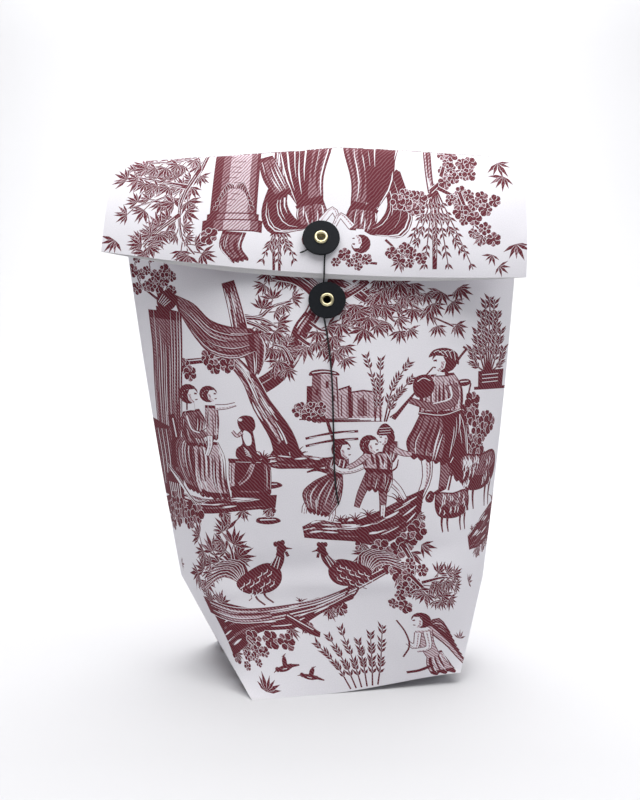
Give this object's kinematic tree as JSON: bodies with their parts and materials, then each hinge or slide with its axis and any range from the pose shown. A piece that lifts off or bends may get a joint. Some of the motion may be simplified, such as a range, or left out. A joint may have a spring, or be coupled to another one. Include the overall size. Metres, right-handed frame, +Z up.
{
  "type": "gift bag",
  "caption": "Square-based paper gift bag, its top folded forward as a flap and closed by a string round washer discs on eyelets.",
  "frame": {"origin": "middle of the square base, on the surface the bag stands on", "axes": "+Z up, -Y towards the front, where the flap and the discs are, +X towards the bag's right as it is looked at from the front"},
  "size_m": [0.2327, 0.1394, 0.288],
  "materials": {
    "paper": "matte, printed outside, plain white inside",
    "disc": "matte black pressed fibre",
    "eyelet": "satin",
    "string": "matte twisted cord"
  },
  "bodies": {
    "paper_body": {"front_panel": "paper", "back_panel": "paper", "left_gore": "paper", "right_gore": "paper", "left_base_ear": "paper", "right_base_ear": "paper", "base_front_flap": "paper", "base_back_flap": "paper", "back_seam_lap": "paper", "lower_eyelet": "eyelet"},
    "flap": {"flap_outer_layer": "paper", "flap_inner_layer": "paper", "upper_eyelet": "eyelet"},
    "upper_disc": {"upper_disc": "disc"},
    "lower_disc": {"lower_disc": "disc"},
    "string": {"string": "string", "string_knot": "string"}
  },
  "joints": [
    {"name": "flap_hinge", "type": "hinge", "parent": "paper_body", "child": "flap", "pos_m": [-0.007, -0.0008, 0.288], "axis": [-1, 0, 0], "range_deg": [0, 150], "deforming": ["string", "string_knot"]},
    {"name": "upper_disc_spin", "type": "hinge", "parent": "flap", "child": "upper_disc", "pos_m": [-0.006, -0.03338, 0.24], "axis": [0, -0.9335, 0.3586], "continuous": true},
    {"name": "lower_disc_spin", "type": "hinge", "parent": "paper_body", "child": "lower_disc", "pos_m": [-0.00282, -0.03646, 0.207], "axis": [0, -0.9714, 0.2373], "continuous": true},
    {"name": "string_swing", "type": "hinge", "parent": "flap", "child": "string", "pos_m": [-0.006, -0.03408, 0.24027], "axis": [0, -0.9808, 0.1948], "range_deg": [0, 180], "deforming": ["string", "string_knot"]}
  ],
  "couplings": [
    {"joint": "string_swing", "follows": "flap_hinge", "ratio": 1.2}
  ]
}
